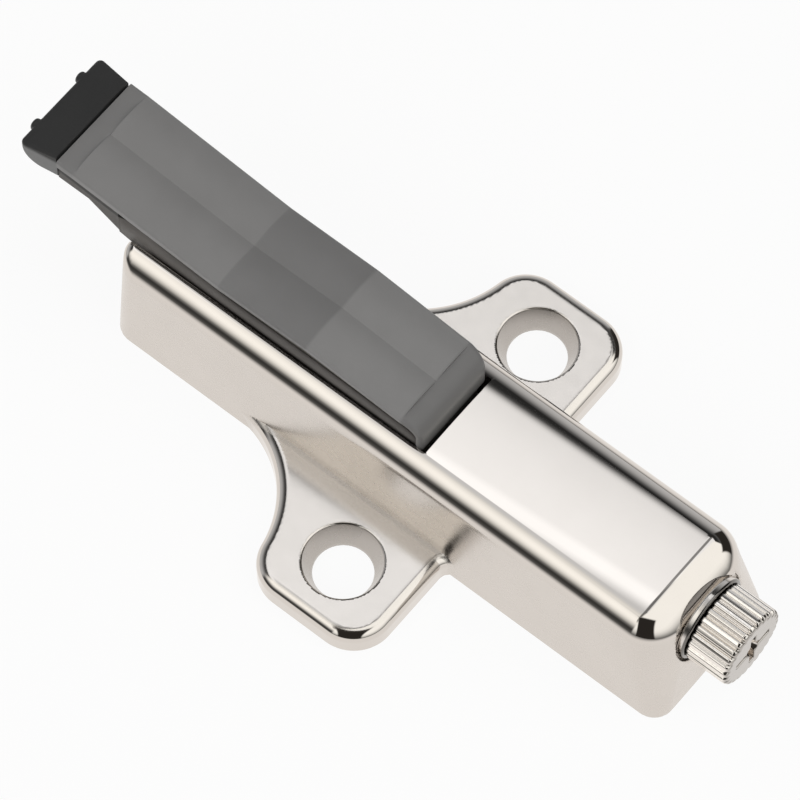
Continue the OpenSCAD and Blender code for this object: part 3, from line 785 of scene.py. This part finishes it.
def finish(name, colours, roughness, grain, bump, painted_light_and_shade=(), rough_bands=None, **constants):
    """Surface whose colour drifts over a slow noise and is multiplied by painted light and shade, and whose
    roughness and bump follow a fine grain.
    """
    made = bpy.data.materials.new(name)
    made.use_nodes = True
    tree = made.node_tree
    shader = tree.nodes["Principled BSDF"]
    for socket, value in constants.items():
        shader.inputs[socket.replace("_", " ")].default_value = value
    colour = ramp(tree, noise(tree, DRIFT_SCALE), (0.35, colours[0]), (0.65, colours[1]))
    for shade in painted_light_and_shade:
        colour = multiply(tree, colour, shade(tree))
    tree.links.new(colour, shader.inputs["Base Color"])
    fine = noise(tree, grain, 2.0)
    rough = ramp(tree, fine, (0.3, roughness[0]), (0.7, roughness[1]))
    if rough_bands:
        rough = multiply(tree, rough, rough_bands(tree))
    tree.links.new(rough, shader.inputs["Roughness"])
    relief = add(tree, "ShaderNodeBump", Strength=bump, Distance=GRAIN_HEIGHT, Height=fine)
    tree.links.new(relief.outputs["Normal"], shader.inputs["Normal"])
    return made


def wall_finish(tree):
    """Dull cast walls, smoother ear faces, and a polished top and polished ear edges."""
    axes = own_axes(tree)
    top = rise(tree, axes["Z"], *metres(TOP_POLISH))
    ear = rise(tree, math_node(tree, "ABSOLUTE", axes["Y"]), *metres(EAR_POLISH))
    face = math_node(tree, "MULTIPLY", rise(tree, axes["Z"], *metres(EAR_FACE)), FACE_DULLNESS)
    ear = math_node(tree, "MULTIPLY", math_node(tree, "SUBTRACT", ear, face), beyond_holes(tree))
    polish = math_node(tree, "MAXIMUM", top, ear)
    return ramp(tree, polish, (0.0, 1.0), (1.0, POLISHED))


def cover_painted_shade(tree):
    """Painted shade along the lever cover: darker front band and middle, lighter reeds, full tone on the
    rear, darkest on the turned-down end.
    """
    dip, knee = COVER_DIP[0], COVER_KNEE[0]
    return bands(tree, "X", (-46.0, 0.84), (-43.8, 0.84), (-43.5, 0.95), (dip - 0.1, 0.95),
                 (dip + 0.1, 0.80), (knee - 0.1, 0.80), (knee + 0.1, 1.0), (-0.9, 1.0),
                 (-0.7, 0.74), (2.0, 0.66))


def knob_painted_shade(tree):
    """Painted shade: a slightly darker collar and shank, a painted shadow where collar meets knob, and a
    darker end face of the knob.
    """
    return bands(tree, "X", (30.0, 0.75), (KNOB_START - 0.35, 0.75), (KNOB_START - 0.3, 0.2),
                 (KNOB_START + 0.2, 0.2), (KNOB_START + 0.3, 1.0), (KNOB_END - 0.4, 1.0),
                 (KNOB_END - 0.1, 0.5), (KNOB_END + 1, 0.5))


def nose_painted_light(tree):
    """Painted light: the nose's sides are paler than its dark top."""
    return bands(tree, "Z", (15.0, 1.0), (19.9, 1.0), (20.4, 0.16), (22.0, 0.16))


def core_painted_light(tree):
    """Painted light: the core's faces in the shaded slot are lighter than its skirt ahead of the housing.
    """
    return bands(tree, "X", (-50.0, 0.55), (FRONT - 1.1, 0.55), (FRONT - 0.9, 1.0), (10.0, 1.0))


def core_painted_shadow(tree):
    """Painted shadow: a black line on the core's sides right under the cover, which slopes down to the
    cover's middle.
    """
    axes = own_axes(tree)
    ahead = math_node(tree, "MINIMUM", axes["X"], COVER_DIP[0] * MM)
    below = math_node(tree, "ADD", axes["Z"], math_node(tree, "MULTIPLY", ahead, COVER_SLOPE))
    return ramp(tree, rise(tree, below, *metres(CORE_PAINTED_SHADOW_ZONE)), (0.0, 1.0), (1.0, CORE_PAINTED_SHADOW_TONE))


nickel_cast = finish(
    "nickel_casting",
    colours=((0.638, 0.600, 0.563), (0.652, 0.614, 0.577)),
    roughness=(0.25, 0.29), grain=700.0, bump=0.001,
    painted_light_and_shade=(hole_painted_shade,), rough_bands=wall_finish, Metallic=1.0,
)
nickel_turned = finish(
    "nickel_turned",
    colours=((0.82, 0.78, 0.735), (0.87, 0.825, 0.78)),
    roughness=(0.10, 0.16), grain=2500.0, bump=0.02,
    painted_light_and_shade=(knob_painted_shade,), Metallic=1.0,
)
zinc_steel = finish(
    "zinc_steel",
    colours=((0.52, 0.53, 0.55), (0.62, 0.63, 0.64)),
    roughness=(0.25, 0.40), grain=2500.0, bump=0.05, Metallic=1.0,
)
grey_cover = finish(
    "grey_plastic",
    colours=((0.232, 0.228, 0.228), (0.246, 0.242, 0.242)),
    roughness=(0.36, 0.46), grain=7000.0, bump=0.05,
    painted_light_and_shade=(cover_painted_shade,), Specular_IOR_Level=0.35,
)
# The core's colour is raised to paint light onto its faces in the shaded slot, and its skirt ahead of the
# housing is brought back down
dark_core = finish(
    "dark_plastic",
    colours=((0.130, 0.122, 0.115), (0.150, 0.140, 0.132)),
    roughness=(0.45, 0.55), grain=6000.0, bump=0.06,
    painted_light_and_shade=(core_painted_light, core_painted_shadow), Specular_IOR_Level=0.3,
)
# The rubber's colour is raised to paint light onto the nose's sides, and its top is brought back down to a
# dark tone
dark_nose = finish(
    "nose_rubber",
    colours=((0.190, 0.190, 0.192), (0.210, 0.210, 0.212)),
    roughness=(0.50, 0.62), grain=6000.0, bump=0.08,
    painted_light_and_shade=(nose_painted_light,), Specular_IOR_Level=0.25,
)
natural = finish(
    "natural_plastic",
    colours=((0.78, 0.77, 0.72), (0.84, 0.83, 0.79)),
    roughness=(0.35, 0.45), grain=5000.0, bump=0.04,
)

by_slot = {
    "nickel_casting": nickel_cast,
    "nickel_turned": nickel_turned,
    "steel": zinc_steel,
    "grey_plastic": grey_cover,
    "dark_plastic": dark_core,
    "nose_rubber": dark_nose,
    "white_plastic": natural,
}
for part in frame["record"]["subparts"]:
    data = nodes[part["node"]].data
    data.materials.clear()
    data.materials.append(by_slot[part["material_slot"]])

# Pieces

stand_for(make_housing(), "housing", nickel_cast)
stand_for(make_cover(), "lever_cover", grey_cover)
stand_for(make_nose(), "nose", dark_nose)
make_cheeks()
stand_for(make_screw(), "adjuster_screw", nickel_turned)
stand_for(make_collar(), "collar", nickel_turned)
spring = stand_for(make_spring(), "main_spring", zinc_steel)
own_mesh(spring)

# Stage: floor, world and one lamp

scene = bpy.context.scene
scene.view_settings.view_transform = "Standard"

WHITE = (1, 1, 1, 1)
FLOOR_REACH, FLOOR_DROP = 3.0, 0.0002
FLOOR_GREY = (0.9, 0.9, 0.9, 1)
FLOOR_GLOW, FLOOR_TINT = 0.92, (1.06, 1.035, 1.01, 1)


def floor_material():
    """White to the camera. Reflections see it white by the part and darker farther out."""
    made = bpy.data.materials.new("floor")
    made.use_nodes = True
    tree = made.node_tree
    shader = tree.nodes["Principled BSDF"]
    shader.inputs["Base Color"].default_value = FLOOR_GREY
    shader.inputs["Roughness"].default_value = 0.9
    ray = tree.nodes.new("ShaderNodeLightPath").outputs
    place = tree.nodes.new("ShaderNodeTexCoord").outputs["Object"]
    flat = add(tree, "ShaderNodeMapping", Vector=place, Scale=(0.4, 1, 1))
    away = tree.nodes.new("ShaderNodeVectorMath")
    away.operation = "LENGTH"
    tree.links.new(flat.outputs["Vector"], away.inputs[0])
    distance = math_node(tree, "MULTIPLY", away.outputs["Value"], 4.0)
    fall = ramp(tree, distance, (0.2, 1.0), (0.4, 0.6), (0.68, 0.45), (1.0, 0.25))
    tone = math_node(tree, "MAXIMUM", ray["Is Camera Ray"], fall)
    seen = math_node(tree, "MAXIMUM", ray["Is Camera Ray"], ray["Is Glossy Ray"])
    seen = math_node(tree, "MAXIMUM", seen, ray["Is Transmission Ray"])
    tint = blend_colour(tree, ray["Is Camera Ray"], FLOOR_TINT, WHITE)
    glow = add(tree, "ShaderNodeEmission", Color=tint, Strength=tone)
    share = math_node(tree, "MULTIPLY", seen, FLOOR_GLOW)
    surface = mix_shaders(tree, share, shader.outputs[0], glow.outputs[0])
    tree.links.new(surface, tree.nodes["Material Output"].inputs["Surface"])
    return made


def make_floor():
    mesh = bpy.data.meshes.new("floor")
    square = [(x * FLOOR_REACH, y * FLOOR_REACH, 0) for x, y in ((-1, -1), (1, -1), (1, 1), (-1, 1))]
    mesh.from_pydata(square, [], [(0, 1, 2, 3)])
    mesh.materials.append(floor_material())
    floor = bpy.data.objects.new("floor", mesh)
    floor.location.z = -FLOOR_DROP
    scene.collection.objects.link(floor)


# Studio sky: brightness at elevations in degrees, on the camera's side, behind the knob and on the far side
SKY = 1.6
LOWEST = -4.0
NEAR_SKY = (
    (-4, 0.3), (0, 0.15), (6, 0.08), (13, 0.05), (17, 0.07), (24, 0.25), (32.5, 0.77), (41, 1.2),
    (49, 1.41), (56, 1.45), (63, 1.37), (69, 1.22), (74, 1.05), (80, 0.9), (90, 0.88),
)
REAR_SKY = (-4, 0.15), (0, 0.2), (4, 0.35), (9, 0.6), (16, 0.95), (25, 1.25), (34, 1.38), (90, 1.38)
FAR_SKY = (
    (-4, 0.7), (8, 0.67), (21, 0.55), (32, 0.34), (41, 0.14), (50, 0.03), (58.0, 0.03), (58.6, 0.8),
    (58.9, 1.17), (60.5, 1.22), (63, 1.29), (65.4, 1.34), (67.6, 1.39), (68.3, 1.6), (69.2, 1.6),
    (70.2, 0.86), (74, 0.86), (90, 0.88),
)
NEAR_TINT, REAR_TINT, FAR_TINT = (1.01, 1.0, 0.96), (1.0, 1.0, 0.97), (0.985, 1.0, 1.02)
NEAR_SIDE = (0.75, -0.66, 0)

# Dark strips of the studio: the way to each one's middle and the way across it
NEAR_STRIP, ACROSS_NEAR_STRIP = (0.454, -0.891, 0), (0.891, 0.454, 0)
FAR_STRIP, ACROSS_FAR_STRIP = (0.309, 0.951, 0), (-0.951, 0.309, 0)
OVERHEAD_DARKNESS = 0.75
DARK = (0.02, 0.018, 0.016, 1)


def sky(tree, height, tint, stops):
    """Sky tones from (elevation in degrees, brightness) stops."""
    tones = []
    for elevation, bright in stops:
        place = (elevation - LOWEST) / (90 - LOWEST)
        tones.append((place, tuple(bright * c / SKY for c in tint)))
    return ramp(tree, height, *tones)


def soft_boxes(tree, way, height):
    """Light of the studio: the near and the far side, and the end behind the knob."""
    near = sky(tree, height, NEAR_TINT, NEAR_SKY)
    rear = sky(tree, height, REAR_TINT, REAR_SKY)
    far = sky(tree, height, FAR_TINT, FAR_SKY)
    side = rise(tree, along(tree, way, NEAR_SIDE), -0.25, -0.05)
    beyond = math_node(tree, "SUBTRACT", along(tree, way, (0, 1, 0)), 0.4)
    beyond = math_node(tree, "MULTIPLY", math_node(tree, "MAXIMUM", beyond, 0.0), 1.5)
    behind = math_node(tree, "SUBTRACT", along(tree, way, (1, 0, 0)), beyond)
    return blend_colour(tree, rise(tree, behind, -0.12, -0.02), blend_colour(tree, side, far, near), rear)


def dark_strips(tree, way, up):
    """Share of darkness: a gap overhead, a strip on the camera's side and one at the far rear corner."""
    slope = math_node(tree, "DIVIDE", along(tree, way, (1, 0, 0)), math_node(tree, "MAXIMUM", up, 0.05))
    gap = math_node(tree, "SUBTRACT", rise(tree, slope, -0.235, -0.205), rise(tree, slope, -0.125, -0.09))
    gap = math_node(tree, "MULTIPLY", gap, rise(tree, up, 0.7, 0.85))
    gap = math_node(tree, "MULTIPLY", gap, OVERHEAD_DARKNESS)
    beside = along(tree, way, ACROSS_NEAR_STRIP)
    near = math_node(tree, "MULTIPLY", rise(tree, beside, -0.36, -0.30), rise(tree, beside, 0.48, 0.40))
    near = math_node(tree, "MULTIPLY", near, rise(tree, along(tree, way, NEAR_STRIP), 0.08, 0.22))
    aside = math_node(tree, "ABSOLUTE", along(tree, way, ACROSS_FAR_STRIP))
    far = math_node(tree, "SUBTRACT", 1.0, rise(tree, aside, 0.34, 0.42))
    far = math_node(tree, "MULTIPLY", far, rise(tree, along(tree, way, FAR_STRIP), 0.2, 0.4))
    far = math_node(tree, "MULTIPLY", far, rise(tree, up, 0.70, 0.60))
    return math_node(tree, "MAXIMUM", gap, math_node(tree, "MAXIMUM", near, far))


def make_world():
    """White to the camera. The part sees soft boxes, with dark between them and at the horizon."""
    world = bpy.data.worlds.new("studio")
    scene.world = world
    world.use_nodes = True
    tree = world.node_tree
    tree.nodes.clear()
    way = tree.nodes.new("ShaderNodeTexCoord").outputs["Generated"]
    up = along(tree, way, (0, 0, 1))
    angle = math_node(tree, "ARCSINE", up)
    lowest = math.radians(LOWEST)
    height = add(tree, "ShaderNodeMapRange", Value=angle, From_Min=lowest, From_Max=math.pi / 2)
    colour = soft_boxes(tree, way, height.outputs["Result"])
    colour = blend_colour(tree, dark_strips(tree, way, up), colour, DARK)
    studio = add(tree, "ShaderNodeBackground", Color=colour, Strength=SKY)
    plain = add(tree, "ShaderNodeBackground", Color=WHITE, Strength=1.0)
    ray = tree.nodes.new("ShaderNodeLightPath").outputs
    surface = mix_shaders(tree, ray["Is Camera Ray"], studio.outputs[0], plain.outputs[0])
    output = tree.nodes.new("ShaderNodeOutputWorld")
    tree.links.new(surface, output.inputs["Surface"])


def make_lamp(name, place, aim, size, power):
    """Square soft lamp that reflections don't show."""
    data = bpy.data.lights.new(name, "AREA")
    data.size = size
    data.energy = power
    lamp = bpy.data.objects.new(name, data)
    lamp.location = place
    lamp.rotation_euler = (Vector(aim) - Vector(place)).to_track_quat("-Z", "Y").to_euler()
    lamp.visible_glossy = False
    scene.collection.objects.link(lamp)


make_floor()
make_world()
make_lamp("near_light", place=(0.10, -0.45, 0.40), aim=(0, 0, 0.01), size=0.35, power=1.0)

# Camera, at the photograph's place

AZIMUTH, ELEVATION = math.radians(38.963), math.radians(63.137)
DISTANCE = 0.650
SHIFT_RIGHT, SHIFT_UP = -0.004244, 0.006678
FOCAL_PIXELS, FRAME_PIXELS = 6287.0, 800.0

right = Vector((math.cos(AZIMUTH), math.sin(AZIMUTH), 0))
level = math.cos(ELEVATION)
back = Vector((math.sin(AZIMUTH) * level, -math.cos(AZIMUTH) * level, math.sin(ELEVATION)))
up = back.cross(right)
camera_data = bpy.data.cameras.new("camera")
camera_data.sensor_width = 36.0
camera_data.lens = FOCAL_PIXELS * camera_data.sensor_width / FRAME_PIXELS
camera_data.clip_start, camera_data.clip_end = 0.05, 20.0
camera = bpy.data.objects.new("camera", camera_data)
place = Matrix.Translation(right * SHIFT_RIGHT + up * SHIFT_UP + back * DISTANCE)
camera.matrix_world = place @ Matrix((right, up, back)).transposed().to_4x4()
scene.collection.objects.link(camera)
scene.camera = camera
